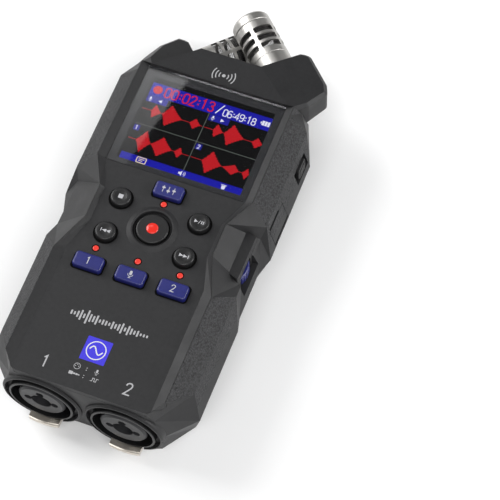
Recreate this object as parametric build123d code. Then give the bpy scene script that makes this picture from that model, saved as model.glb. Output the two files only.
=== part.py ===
from build123d import *
import os
from math import sqrt

# Handheld four-track field recorder lying on its back.
# The design datum is the face of the control panel (z = 0) with y = 0 at the record button's row:
# +X is the recorder's right side, +Y points to the microphones and +Z comes out of the face.
# Every node is moved on export so that the row's origin is the centre of the base of its box.

# ------------------------------------------------------------------ driving dimensions (mm)
RIM_Z = 1.5               # crest of the rim round the sunken face
SPLIT_Z = -15.0           # plane where the front and rear shells meet
BACK_Z = -31.5            # back of the recorder
WALL = 3.0                # horizontal wall of the shells
FACE_T = 2.0              # thickness of the control panel
FLOOR_T = 2.2             # thickness of the back wall
SEAM = 0.1                # gap where two fixed casings meet
GAP = 0.2                 # gap round a part that moves

MIC_R = 6.4               # microphone capsule
MIC_LENGTH = 22.0
MIC_SINK = 4.0            # how far a capsule is sunk into its horn
MIC_X, MIC_Y, MIC_Z = 14.2, 72.2, -8.5
MIC_ROUND = 1.6           # rounding of a capsule's free end

JACK_X, JACK_Z = 13.1, -14.8
JACK_FACE_Y = -56.8
JACK_BACK_Y = -34.0
TAB_END_Y = -58.8         # end of the silver release tabs, the lowest point in y
TAB_X = 0.55              # release tab's middle, right of its jack's axis
TAB_HALF_W = 4.9

SCREEN_X, SCREEN_Y0, SCREEN_Y1 = 23.0, 19.9, 56.3

MIC_TOP_Y = MIC_Y + (MIC_LENGTH + MIC_R - 2 * MIC_ROUND) / sqrt(2) + MIC_ROUND
TO_ROW = Location((0, -(MIC_TOP_Y + TAB_END_Y) / 2, -BACK_Z))

# Right half of each ring of corners that shapes the casing, from the microphone end to the jacks.
RIM = [(25.4, 56.3), (25.4, 53.0), (25.4, 20.0), (20.5, 10.2), (20.4, -1.3), (25.3, -14.4),
       (25.1, -50.8), (22.0, -54.4), (20.3, -55.4)]
TRAY = [(23.0, 57.0), (23.0, 53.0), (23.0, 19.9), (19.1, 10.4), (19.0, -1.7), (22.1, -12.3),
        (22.1, -50.8), (22.1, -54.4), (22.1, -57.0)]
SHOULDER = [(27.5, 57.5, -3.0), (31.3, 52.0, -4.0), (31.3, 16.2, -4.0), (30.2, 13.7, -8.0),
            (30.2, -2.5, -8.0), (30.9, -8.6, -5.0), (30.7, -42.5, -5.4), (23.0, -54.8, -5.0),
            (20.3, -55.4, -5.0)]
BELT = [(28.5, 61.5), (34.2, 47.0), (34.2, 11.5), (32.4, 5.5), (32.4, -10.6), (33.5, -14.8),
        (33.4, -46.0), (24.5, -55.4), (20.3, -55.4)]
BACK_EDGE = [(27.0, 58.0), (31.5, 50.0), (31.5, 15.0), (29.8, 8.0), (29.8, -8.0), (30.8, -13.0),
             (30.8, -44.0), (24.0, -54.0), (20.0, -55.4)]
BACK = [(24.0, 55.0), (27.0, 50.0), (27.0, 16.0), (26.0, 8.0), (26.0, -7.0), (27.0, -13.0),
        (27.0, -42.0), (21.0, -50.0), (18.0, -51.0)]
BACK_EDGE_Z = -26.0

# The head between the microphones, and the right horn that holds the front capsule.
HEAD_FACE = [(23.5, 56.4, 0.0), (10.0, 68.0, -0.4)]
HEAD_BELT = [(28.4, 56.4), (13.0, 72.0)]
HORN = [(10.0, 68.0), (20.8, 79.0), (22.8, 79.0), (31.4, 70.2), (32.8, 66.8), (29.0, 60.0),
        (25.4, 56.4), (23.5, 56.4)]
HORN_BOTTOM_Z = -17.0
HORN_CORNER = (32.0, 68.5, -2.2)          # outer corner, lower than the crease on the head
# Bevels under the horn's walls: number of the wall's first corner, height of the bevel's crest and
# how far it goes in at the bottom.
HORN_BEVELS = [(1, -13.5, 2.5), (2, -13.5, 2.5), (3, -10.5, 4.5), (4, -10.5, 4.5)]
RIM_BEVEL = 1.1                           # bevel round the horn's front face

ROUND_KEYS = {"stop_button": (-12.95, 8.3), "rewind_button": (-12.85, -4.3),
              "play_button": (12.75, 8.1), "forward_button": (12.65, -4.3)}
BLUE_KEYS = {"mixer_button": (0.0, 15.1), "track_1_button": (-13.6, -15.7),
             "mic_button": (0.0, -15.7), "track_2_button": (13.6, -15.7)}
RECORD_Y = 1.6
LAMPS = [(0.0, 10.8), (-13.6, -10.2), (0.0, -10.1), (13.6, -10.2)]
LAMP_R = 0.9
ROUND_KEY_R, ROUND_KEY_TOP = 3.2, 1.7
BLUE_KEY_W, BLUE_KEY_H, BLUE_KEY_TOP = 9.2, 5.0, 1.8
RECORD_R, RECORD_HOLE_R = 5.0, 6.05

DIAL_R, DIAL_X, DIAL_Y = 6.9, 23.5, 2.3
DIAL_Z0, DIAL_Z1 = -12.0, -7.7
VOLUME_R, VOLUME_X, VOLUME_Y = 8.0, -25.0, 3.5
VOLUME_Z0, VOLUME_Z1 = -20.6, -16.6
SHAFT_R, SHAFT_CLEAR = 1.5, 0.05

CELL_R, CELL_LENGTH, CELL_X, CELL_Z = 7.2, 50.5, 7.5, -22.3
CELL_Y0 = -27.6
DOOR = (-17.0, 17.0, -30.0, 26.0)         # battery door: x and y limits
DOOR_TRAVEL = 4.0

SOCKET_Z = -20.0                          # 3.5 mm sockets on the left side
SOCKETS = {"headphone_socket": 30.0, "line_out_socket": 42.0}
SOCKET_BORE_R, SOCKET_BODY_R = 1.8, 3.4
USB_Y, USB_Z = -20.0, -20.0
SPEAKER_X, SPEAKER_Y, SPEAKER_R = 0.0, 42.0, 9.5
TRIPOD_Y, TRIPOD_BORE_R = -40.0, 2.6
SCREWS = [(21.5, 50.0), (-21.5, 50.0), (21.5, -28.5), (-21.5, -28.5)]

CARD_DOOR = (16.6, 27.4, -14.2, -7.4)     # y and z limits of the card door
SLIDER = (38.0, 47.0, -12.6, -7.4)        # y and z limits of the power slider's recess
CARD_DOOR_T = 1.2
CARD_PIN_R, CARD_PIN_REACH = 0.3, 1.0


# ------------------------------------------------------------------ helpers
def save(node, *solids):
    """Write one node's solids, moved from the design datum to the row's frame."""
    shape = solids[0] if len(solids) == 1 else Compound(children=list(solids))
    export_step(shape.moved(TO_ROW), f"parts/{node}.step")


def block(x0, x1, y0, y1, z0, z1):
    return Pos((x0 + x1) / 2, (y0 + y1) / 2, (z0 + z1) / 2) * Box(x1 - x0, y1 - y0, z1 - z0)


def post(x, y, z0, z1, r):
    """Cylinder along Z."""
    return Pos(x, y, (z0 + z1) / 2) * Cylinder(r, z1 - z0)


def barrel(x, z, y0, y1, r):
    """Cylinder along Y."""
    return Pos(x, (y0 + y1) / 2, z) * Rot(90, 0, 0) * Cylinder(r, y1 - y0)


def axle(y, z, x0, x1, r):
    """Cylinder along X."""
    return Pos((x0 + x1) / 2, y, z) * Rot(0, 90, 0) * Cylinder(r, x1 - x0)


def prism(corners, z0, z1):
    face = Face(Wire.make_polygon([(x, y, z0) for x, y in corners]))
    return extrude(face, z1 - z0, dir=(0, 0, 1))


def both_sides(right):
    """Closed outline from its right half."""
    return right + [(-p[0],) + tuple(p[1:]) for p in reversed(right)]


def at_height(outline, z):
    return [(x, y, z) for x, y in outline]


def inset(ring, wall):
    """Ring of corners moved in by a wall, sideways and at its two ends."""
    half = len(ring) // 2
    moved = []
    for i, (x, y, z) in enumerate(ring):
        station = min(i, len(ring) - 1 - i)
        y_in = y - wall if station == 0 else y + 0.8 * wall if station >= half - 2 else y
        moved.append((x - wall if x > 0 else x + wall, y_in, z))
    return moved


def faceted(rings):
    """Solid whose skin is flat triangles between rings of corners, closed by flat ends."""
    faces = [Face(Wire.make_polygon(rings[0])), Face(Wire.make_polygon(rings[-1]))]
    count = len(rings[0])
    for upper, lower in zip(rings, rings[1:]):
        for i in range(count):
            j = (i + 1) % count
            if i < count // 2:
                pair = [(upper[i], upper[j], lower[i]), (upper[j], lower[j], lower[i])]
            else:
                pair = [(upper[i], upper[j], lower[j]), (upper[i], lower[j], lower[i])]
            faces += [Face(Wire.make_polygon(corners)) for corners in pair]
    solid = Solid(Shell(faces))
    return solid if solid.volume > 0 else -solid


def half_turn(shape):
    """The recorder's head repeats after half a turn about its long axis."""
    return Pos(0, 0, 2 * SPLIT_Z) * Rot(0, 180, 0) * shape


def rounded_key(w, h, r, z0, z1):
    return Pos(0, 0, z0) * extrude(RectangleRounded(w, h, r), z1 - z0)


def wheel(r, z0, z1, ribs, rib_r):
    """Thumb wheel with grip grooves round its edge."""
    disc = post(0, 0, z0, z1, r)
    disc = chamfer(disc.edges().filter_by(GeomType.CIRCLE), 0.4)
    for i in range(ribs):
        angle = 360 * i / ribs
        disc -= Rot(0, 0, angle) * post(r + 0.1, 0, z0 - 1, z1 + 1, rib_r)
    return disc


def microphone_axis(shape):
    """Place a piece drawn along +Z on the front capsule's axis."""
    direction = Plane(origin=(MIC_X, MIC_Y, MIC_Z), x_dir=(0, 0, 1), z_dir=(-1, 1, 0))
    return direction.location * shape


# ------------------------------------------------------------------ casing
def horn_bevel(start, end, crest_z, inset_by):
    """Plane that bevels the bottom of the horn's wall from start to end, facing into the horn."""
    along = (Vector(*end) - Vector(*start)).normalized()
    inwards = Vector(along.Y, -along.X)
    crest = Vector(*start, crest_z)
    foot = Vector(*start, HORN_BOTTOM_Z) + inwards * inset_by
    facing = along.cross(foot - crest)
    return Plane(origin=crest, z_dir=facing if facing.Z > 0 else facing * -1)


def horn():
    """Right horn with a face that falls away from its crease, before it is bored."""
    solid = prism(HORN, HORN_BOTTOM_Z, 2.0)
    vertical = solid.edges().filter_by(Axis.Z)
    outer = [e for e in vertical if e.center().X > 22 and e.center().Y > 65]
    solid = fillet(outer, 2.2)
    crease_out, crease_in = (Vector(*corner) for corner in HEAD_FACE)
    outwards = Vector(*HORN_CORNER) - crease_in
    slope = Plane(origin=crease_in, z_dir=outwards.cross(crease_out - crease_in))
    if slope.z_dir.Z < 0:
        slope = Plane(origin=crease_in, z_dir=-slope.z_dir)
    solid = split(solid, bisect_by=slope, keep=Keep.BOTTOM)
    front = solid.faces().sort_by(Axis.Z)[-1]
    rim = [e for e in front.edges() if e.center().X > 27 or e.center().Y > 78]
    solid = chamfer(rim, RIM_BEVEL)
    for i, crest_z, inset_by in HORN_BEVELS:
        bevel = horn_bevel(HORN[i], HORN[i + 1], crest_z, inset_by)
        solid = split(solid, bisect_by=bevel, keep=Keep.TOP)
    return solid


def head():
    """Front half of the block between the horns."""
    return faceted([both_sides(HEAD_FACE), at_height(both_sides(HEAD_BELT), SPLIT_Z)])


def head_cavity():
    return prism([(18.0, 52.0), (7.5, 65.0), (-7.5, 65.0), (-18.0, 52.0)], SPLIT_Z, -2.4)


def mic_bore():
    return microphone_axis(Pos(0, 0, 1.0) * Cylinder(MIC_R + 0.05, 2 * MIC_SINK + 2.0))


def jack_cut():
    """Everything the two combination jacks take out of the end of the casing."""
    cut = None
    for x in (-JACK_X, JACK_X):
        seat = barrel(x, JACK_Z, -57.0, -50.0, 10.35)
        recess = barrel(x, JACK_Z, -57.0, -54.4, 11.8)
        tab = barrel(x, JACK_Z, -57.5, -46.0, 13.4) - barrel(x, JACK_Z, -57.5, -46.0, 10.3)
        middle, reach = x + TAB_X, TAB_HALF_W + 0.4
        tab &= block(middle - reach, middle + reach, -58, -45.9, -29.0, JACK_Z - 8.0)
        shape = seat + recess + tab
        cut = shape if cut is None else cut + shape
    return cut


def jack_bosses():
    bosses = None
    for x in (-JACK_X, JACK_X):
        boss = barrel(x, JACK_Z, -56.3, -50.5, 12.7)
        boss = chamfer(boss.edges().filter_by(GeomType.CIRCLE).sort_by(Axis.Y)[0], 0.5)
        bosses = boss if bosses is None else bosses + boss
    return bosses


def side_recesses():
    """Pockets cut in the right side for the dial, the card door and the power slider."""
    dial = post(DIAL_X, DIAL_Y, DIAL_Z0 - 0.4, DIAL_Z1 + 0.4, DIAL_R + 0.4)
    scoop = [(29.6, DIAL_Y + 5.2), (40.0, DIAL_Y + 7.0), (40.0, DIAL_Y - 8.0), (29.6, DIAL_Y - 6.2)]
    dial += prism(scoop, DIAL_Z0 - 0.4, DIAL_Z1 + 0.4)
    door_y0, door_y1, door_z0, door_z1 = CARD_DOOR
    door = block(29.3, 40, door_y0 - GAP, door_y1 + GAP, door_z0 - 0.3, door_z1 + GAP)
    hinge_x, hinge_z = card_hinge()
    pin_y0, pin_y1 = door_y0 - CARD_PIN_REACH - GAP, door_y1 + CARD_PIN_REACH + GAP
    door += barrel(hinge_x, hinge_z, pin_y0, pin_y1, CARD_PIN_R + SHAFT_CLEAR)
    door += block(30.8, 40, door_y0 + 0.4, door_y0 + 7.9, door_z1, door_z1 + 1.1)
    slider_y0, slider_y1, slider_z0, slider_z1 = SLIDER
    slider = block(30.9, 40, slider_y0, slider_y1, slider_z0, slider_z1)
    stem = block(26.0, 31.0, slider_y0 + 2.0, slider_y1 - 2.0, -11.2, -8.8)
    card_slot = block(27.0, 30.0, 17.6, 26.4, -11.6, -9.6)
    return dial + door + slider + stem + card_slot


def left_recesses():
    """Holes in the left side of the rear shell for the sockets and the volume wheel."""
    cut = post(VOLUME_X, VOLUME_Y, VOLUME_Z0 - 0.4, VOLUME_Z1 + 0.4, VOLUME_R + 0.4)
    for y in SOCKETS.values():
        cut += axle(y, SOCKET_Z, -40, -20, SOCKET_BODY_R + SEAM)
    return cut


def screw_posts(z0, z1, r):
    posts = None
    for x, y in SCREWS:
        one = post(x, y, z0, z1, r)
        posts = one if posts is None else posts + one
    return posts


def post_ribs():
    """Webs that tie the front shell's screw posts to its side walls."""
    ribs = None
    for x, y in SCREWS:
        reach = 29.8 if x > 0 else -29.8
        rib = block(min(x, reach), max(x, reach), y - 0.9, y + 0.9, -12.0, -6.2)
        ribs = rib if ribs is None else ribs + rib
    return ribs


def front_shell():
    outer = faceted([at_height(both_sides(RIM), RIM_Z), both_sides(SHOULDER),
                     at_height(both_sides(BELT), SPLIT_Z)])
    inner = faceted([inset(at_height(both_sides(RIM), -FACE_T - SEAM), WALL),
                     inset(both_sides(SHOULDER), WALL),
                     inset(at_height(both_sides(BELT), SPLIT_Z), WALL)])
    dial_block = prism([(24.5, 13.2), (29.5, 12.0), (29.3, -3.5), (24.5, -1.9)], -13.5, -4.0)
    dial_block = fillet(dial_block.edges().filter_by(Axis.Z), 0.5)
    shell = outer + head() + horn() + jack_bosses() + dial_block
    shell &= block(-40, 40, -60, 95, SPLIT_Z, 5) + horn()
    shell -= inner
    shell -= head_cavity()
    shell += screw_posts(SPLIT_Z, -6.2, 2.8) + post_ribs()
    shell -= block(-22.3, 22.3, 19.5, 56.0, -5.0, 0)
    shell -= screw_posts(SPLIT_Z - 1, -7.5, 1.2)
    shell -= prism(both_sides([(x + SEAM, y) for x, y in RIM]), -FACE_T - SEAM, 4)
    shell -= block(-25.5, 25.5, -58, -55.2, -FACE_T - SEAM, 4)
    nose = Plane(origin=(0, -50.8, RIM_Z), z_dir=(0, -RIM_Z, 3.6))
    shell = split(shell, bisect_by=nose, keep=Keep.BOTTOM)
    shell -= half_turn(horn())
    shell -= mic_bore()
    shell -= half_turn(mic_bore())
    shell -= jack_cut()
    shell -= side_recesses()
    return shell


def rear_shell():
    top_z = SPLIT_Z - SEAM / 2
    outer = faceted([at_height(both_sides(BELT), SPLIT_Z),
                     at_height(both_sides(BACK_EDGE), BACK_EDGE_Z),
                     at_height(both_sides(BACK), BACK_Z)])
    inner = faceted([inset(at_height(both_sides(BELT), SPLIT_Z + 0.5), WALL),
                     inset(at_height(both_sides(BACK_EDGE), BACK_EDGE_Z), WALL),
                     inset(at_height(both_sides(BACK), BACK_Z + FLOOR_T), WALL)])
    outer -= block(-8.0, 8.0, -60, -53.9, BACK_Z - 1, -21.5)
    back_horn = half_turn(horn())
    shell = outer + half_turn(head()) + back_horn + jack_bosses()
    shell &= block(-40, 40, -60, 95, BACK_Z, top_z) + back_horn
    shell -= inner
    shell -= half_turn(head_cavity())
    shell += screw_posts(BACK_Z + FLOOR_T - 0.1, top_z, 2.8)
    shell -= screw_posts(BACK_Z - 1, top_z + 1, 1.25)
    shell -= screw_posts(BACK_Z - 1, BACK_Z + 1.4, 2.5)
    x0, x1, y0, y1 = DOOR
    shell -= block(x0 - GAP, x1 + GAP, y0 - DOOR_TRAVEL - GAP, y1 + GAP, BACK_Z - 1, BACK_Z + 1.5)
    shell -= block(x0 + 1.5, x1 - 1.5, y0 + 1.5, y1 - 1.5, BACK_Z - 1, BACK_Z + 4)
    shell -= block(-12.3, 12.3, y1 - 2.0, y1 + 2.3, BACK_Z + 0.7, BACK_Z + 1.9)
    for i in range(-3, 4):
        reach = sqrt(SPEAKER_R ** 2 - (2.2 * i) ** 2) - 1.0
        y = SPEAKER_Y + 2.2 * i
        shell -= block(SPEAKER_X - reach, SPEAKER_X + reach, y - 0.5, y + 0.5, BACK_Z - 1, BACK_Z + 4)
    shell += post(0, TRIPOD_Y, BACK_Z + FLOOR_T - 0.1, -25.5, 6.0)
    shell -= post(0, TRIPOD_Y, BACK_Z - 1, -25.0, 4.5)
    shell -= horn()
    shell -= mic_bore()
    shell -= half_turn(mic_bore())
    shell -= jack_cut()
    shell -= left_recesses()
    shell -= block(20, 40, USB_Y - 4.6, USB_Y + 4.6, USB_Z - 1.75, USB_Z + 1.75)
    return shell


def record_mound():
    """Raised ring round the record button that falls away gently on its outside."""
    profile = Polyline((RECORD_HOLE_R, -0.5), (RECORD_HOLE_R, 0.55), (6.3, 0.75), (6.6, 0.75),
                       (7.9, 0.0), (7.9, -0.5), close=True)
    ring = revolve(Plane.XZ * make_face(profile), Axis.Z)
    return Pos(0, RECORD_Y, 0) * ring


def front_panel():
    panel = prism(both_sides(RIM), -FACE_T, RIM_Z)
    tray_outline = both_sides([(x, -57.0 if i == 8 else y) for i, (x, y) in enumerate(RIM)])
    tray_top = [(25.4, 57.0), (25.4, 53.0), (25.4, 20.0), (20.5, 10.2), (20.4, -1.3),
                (25.3, -14.4), (25.1, -50.8), (25.1, -54.4), (25.1, -57.0)]
    panel -= faceted([at_height(both_sides(tray_top), RIM_Z), at_height(both_sides(TRAY), 0.0)])
    panel -= prism(both_sides(tray_top), RIM_Z, RIM_Z + 1)
    panel += record_mound()
    panel -= block(-SCREEN_X, SCREEN_X, SCREEN_Y0, SCREEN_Y1 + 1, -1.0, 5)
    panel -= block(-21.4, 21.4, 21.0, 54.8, -3, 0)
    for x, y in ROUND_KEYS.values():
        panel -= post(x, y, -3, 3, ROUND_KEY_R + GAP)
    for x, y in BLUE_KEYS.values():
        panel -= Pos(x, y, 0) * rounded_key(BLUE_KEY_W + 2 * GAP, BLUE_KEY_H + 2 * GAP, 1.3, -3, 3)
    panel -= post(0, RECORD_Y, -3, 3, RECORD_HOLE_R)
    for x, y in LAMPS:
        panel -= post(x, y, -3, 3, LAMP_R + 0.03)
    return panel


# ------------------------------------------------------------------ keys and lamps
def round_key():
    cap = post(0, 0, -FACE_T - 0.2, ROUND_KEY_TOP, ROUND_KEY_R)
    cap = fillet(cap.edges().filter_by(GeomType.CIRCLE).sort_by(Axis.Z)[-1], 0.7)
    cap -= Pos(0, 0, ROUND_KEY_TOP + 7.7) * Sphere(7.95)
    return cap + post(0, 0, -FACE_T - 0.95, -FACE_T - 0.1, ROUND_KEY_R + 0.6)


def blue_key():
    cap = rounded_key(BLUE_KEY_W, BLUE_KEY_H, 1.1, -FACE_T - 0.2, BLUE_KEY_TOP)
    top = cap.faces().sort_by(Axis.Z)[-1]
    cap = fillet(top.edges(), 0.7)
    flange = rounded_key(BLUE_KEY_W + 1.2, BLUE_KEY_H + 1.2, 1.6, -FACE_T - 0.95, -FACE_T - 0.1)
    return cap + flange


def record_key():
    cap = post(0, 0, -FACE_T - 0.2, 0.7, RECORD_R)
    cap = fillet(cap.edges().filter_by(GeomType.CIRCLE).sort_by(Axis.Z)[-1], 0.5)
    return cap + post(0, 0, -FACE_T - 0.95, -FACE_T - 0.15, RECORD_R + 0.7)


def save_keys():
    for node, (x, y) in ROUND_KEYS.items():
        save(node, Pos(x, y, 0) * round_key())
    for node, (x, y) in BLUE_KEYS.items():
        save(node, Pos(x, y, 0) * blue_key())
    save("record_button", Pos(0, RECORD_Y, 0) * record_key())
    ring = post(0, RECORD_Y, -FACE_T + 0.05, -0.15, RECORD_HOLE_R)
    save("record_ring", ring - post(0, RECORD_Y, -3, 1, RECORD_R + 0.3))
    lenses = []
    for x, y in LAMPS:
        lens = post(x, y, -FACE_T, 0.25, LAMP_R)
        lenses.append(fillet(lens.edges().filter_by(GeomType.CIRCLE).sort_by(Axis.Z)[-1], 0.3))
    save("lamp_lenses", *lenses)
    save("keypad_membrane", block(-17.0, 17.0, -19.5, 18.3, -4.5, -3.75))


# ------------------------------------------------------------------ display and boards
def save_display():
    window = block(-SCREEN_X + 0.05, SCREEN_X - 0.05, SCREEN_Y0 + 0.05, SCREEN_Y1 - 0.02, -0.95, 0.0)
    save("display_window", window)
    save("lcd_panel", block(-21.2, 21.2, 21.2, 54.6, -2.2, -1.1))
    frame = block(-21.9, 21.9, 20.4, 55.4, -4.5, -2.3)
    frame -= block(-20.6, 20.6, 21.8, 54.0, -3.4, -2.0)
    save("lcd_frame", frame)
    board = block(-19.5, 19.5, -30.0, 54.5, -6.1, -4.6)
    save("main_board", board)
    save("jack_board", block(-23.0, 23.0, -33.1, -31.7, -26.0, -5.0))


# ------------------------------------------------------------------ microphones
def capsule_pieces():
    """Front capsule's pieces along +Z, with z = 0 at the horn's edge."""
    collar = Pos(0, 0, (4.7 - MIC_SINK) / 2) * Cylinder(MIC_R, 4.7 + MIC_SINK)
    collar -= Pos(0, 0, 3) * Cylinder(5.2, 14)
    collar = chamfer(collar.edges().filter_by(GeomType.CIRCLE).sort_by(Axis.Z)[-1], 0.15)

    tube_z0, tube_z1 = 4.8, 18.3
    tube_mid, tube_h = (tube_z0 + tube_z1) / 2, tube_z1 - tube_z0
    shell = Pos(0, 0, tube_mid) * (Cylinder(MIC_R, tube_h) - Cylinder(MIC_R - 0.7, tube_h + 1))
    shell = chamfer(shell.edges().filter_by(GeomType.CIRCLE).filter_by(lambda e: e.radius > 6), 0.15)
    for row in (8.2, 11.3, 14.4):
        for i in range(5):
            slot = Plane.YZ * extrude(RectangleRounded(6.5, 2.1, 0.4), 8)
            shell -= Pos(0, 0, row) * Rot(0, 0, 72 * i + 14) * slot
    mesh = Pos(0, 0, tube_mid) * (Cylinder(5.6, tube_h - 0.4) - Cylinder(5.3, tube_h + 1))
    element = Pos(0, 0, 16.0) * Cylinder(5.2, 3.0)
    cap = Pos(0, 0, (18.4 + MIC_LENGTH) / 2) * Cylinder(MIC_R, MIC_LENGTH - 18.4)
    rims = cap.edges().filter_by(GeomType.CIRCLE).sort_by(Axis.Z)
    cap = fillet(rims[-1], MIC_ROUND)
    cap = chamfer(cap.edges().filter_by(GeomType.CIRCLE).sort_by(Axis.Z)[0], 0.15)
    return {"collar": collar, "shell": shell, "mesh": mesh, "element": element, "cap": cap}


def save_microphones():
    for name, piece in capsule_pieces().items():
        placed = microphone_axis(piece)
        save(f"mic_{name}_front", placed)
        save(f"mic_{name}_rear", half_turn(placed))


# ------------------------------------------------------------------ combination jacks
def jack_pieces():
    """One combination jack on the Y axis: housing, insert, contacts and release tab."""
    housing = barrel(0, 0, JACK_FACE_Y, JACK_BACK_Y, 10.3)
    housing = fillet(housing.edges().filter_by(GeomType.CIRCLE).sort_by(Axis.Y)[0], 0.3)
    housing -= barrel(0, 0, JACK_FACE_Y - 1, -40.0, 9.6)
    housing -= barrel(0, 0, -41, JACK_BACK_Y + 1, 3.2)
    insert = barrel(0, 0, JACK_FACE_Y + 0.3, -40.05, 7.5)
    insert = chamfer(insert.edges().filter_by(GeomType.CIRCLE).sort_by(Axis.Y)[0], 0.7)
    insert -= barrel(0, 0, -60, -30, 3.2)
    contacts = []
    for x, z in ((-4.2, 0), (4.2, 0), (0, 4.2)):
        insert -= barrel(x, z, -60, -46.0, 1.2)
        housing -= barrel(x, z, -41, JACK_BACK_Y + 1, 0.85)
        insert -= barrel(x, z, -46.1, -39, 0.85)
        contacts.append(barrel(x, z, -45.9, -33.2, 0.8))
    tab = barrel(0, 0, TAB_END_Y, -54.2, 12.4) - barrel(0, 0, TAB_END_Y - 1, -54, 10.6)
    tab &= block(TAB_X - TAB_HALF_W, TAB_X + TAB_HALF_W, -60, -50, -13.0, -8.0)
    ends = tab.faces().sort_by(Axis.Y)[0].edges()
    tab = fillet(ends, 0.6)
    tab += block(-2.5, 2.5, -54.3, -47.6, -12.2, -10.8)
    return housing, insert, contacts, tab


def save_jacks():
    housing, insert, contacts, tab = jack_pieces()
    for number, x in ((1, -JACK_X), (2, JACK_X)):
        place = Pos(x, 0, JACK_Z)
        save(f"jack_housing_{number}", place * housing)
        save(f"jack_insert_{number}", place * insert)
        save(f"jack_contacts_{number}", *[place * contact for contact in contacts])
        save(f"release_tab_{number}", place * tab)


# ------------------------------------------------------------------ controls on the sides
def save_side_controls():
    dial = wheel(DIAL_R, DIAL_Z0, DIAL_Z1, 36, 0.32) - post(0, 0, -30, 0, SHAFT_R + SHAFT_CLEAR)
    save("selection_dial", Pos(DIAL_X, DIAL_Y, 0) * dial)
    encoder = block(DIAL_X - 4.5, DIAL_X + 4.5, DIAL_Y - 4.5, DIAL_Y + 4.5, -14.9, -12.3)
    encoder += post(DIAL_X, DIAL_Y, -12.4, -7.4, SHAFT_R)
    save("dial_encoder", encoder)

    volume = wheel(VOLUME_R, VOLUME_Z0, VOLUME_Z1, 36, 0.32)
    volume -= post(0, 0, -30, 0, SHAFT_R + SHAFT_CLEAR)
    save("volume_wheel", Pos(VOLUME_X, VOLUME_Y, 0) * volume)
    pot = block(-26.8, -18.0, -1.5, 8.5, -24.5, -20.9)
    save("volume_pot", pot + post(VOLUME_X, VOLUME_Y, -21.0, -16.2, SHAFT_R))

    y0, y1, z0, z1 = SLIDER
    middle = (y0 + y1) / 2
    knob = block(31.2, 33.5, middle - 2.6, middle + 2.6, z0 + GAP, z1 - GAP)
    knob = chamfer(knob.edges().group_by(Axis.X)[-1], 0.5)
    for i in range(-2, 3):
        knob -= block(33.2, 35.5, middle + 0.9 * i - 0.2, middle + 0.9 * i + 0.2, z0, z1)
    knob += block(26.6, 31.3, middle - 0.8, middle + 0.8, -10.9, -9.1)
    save("power_slider", knob)
    save("power_switch", block(22.5, 26.3, 38.0, 47.0, -13.0, -7.0))

    save("card_door", card_door())
    socket = block(13.0, 26.8, 16.0, 28.0, -12.0, -9.2)
    save("card_socket", socket - block(15.0, 27.0, 17.5, 26.5, -11.6, -9.7))


def facet_x(z):
    """Side facet of the right side above the split, where it is flat."""
    return 31.3 + (34.2 - 31.3) * (-4.0 - z) / 11.0


def card_hinge():
    """x and z of the card door's pins, one half thickness inside the side facet."""
    z = CARD_DOOR[2] + 0.55
    return facet_x(z) - 0.52 * CARD_DOOR_T, z


def card_door():
    """Flap flush with the side facet, with a round hinge bead along its lower edge."""
    y0, y1, z0, z1 = CARD_DOOR
    hinge_x, hinge_z = card_hinge()
    middle_z = z1 - CARD_DOOR_T
    outline = [(facet_x(z1) - 0.5, z1), (facet_x(z1), z1), (facet_x(hinge_z + 0.2), hinge_z + 0.2),
               (hinge_x, hinge_z), (facet_x(hinge_z) - 1.1 * CARD_DOOR_T, hinge_z + 0.1),
               (facet_x(middle_z) - CARD_DOOR_T, middle_z)]
    face = Face(Wire.make_polygon([(x, y0, z) for x, z in outline]))
    flap = extrude(face, y1 - y0, dir=(0, 1, 0))
    flap += barrel(hinge_x, hinge_z, y0, y1, CARD_DOOR_T / 2)
    return flap + barrel(hinge_x, hinge_z, y0 - CARD_PIN_REACH, y1 + CARD_PIN_REACH, CARD_PIN_R)


def save_sockets():
    for node, y in SOCKETS.items():
        body = axle(y, SOCKET_Z, -33.6, -18.0, SOCKET_BODY_R)
        body = chamfer(body.edges().filter_by(GeomType.CIRCLE).sort_by(Axis.X)[0], 0.3)
        save(node, body - axle(y, SOCKET_Z, -40, -19.5, SOCKET_BORE_R))
    tube = Rot(0, 90, 0) * (extrude(RectangleRounded(3.2, 9.0, 1.5), 7.8, both=True)
                            - extrude(RectangleRounded(2.6, 8.4, 1.2), 9, both=True))
    tongue = block(-7.0, 6.4, -3.3, 3.3, -0.35, 0.35)
    back = block(-8.8, -7.0, -4.5, 4.5, -1.6, 1.6)
    save("usb_port", Pos(24.2, USB_Y, USB_Z) * (tube + tongue + back))


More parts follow.
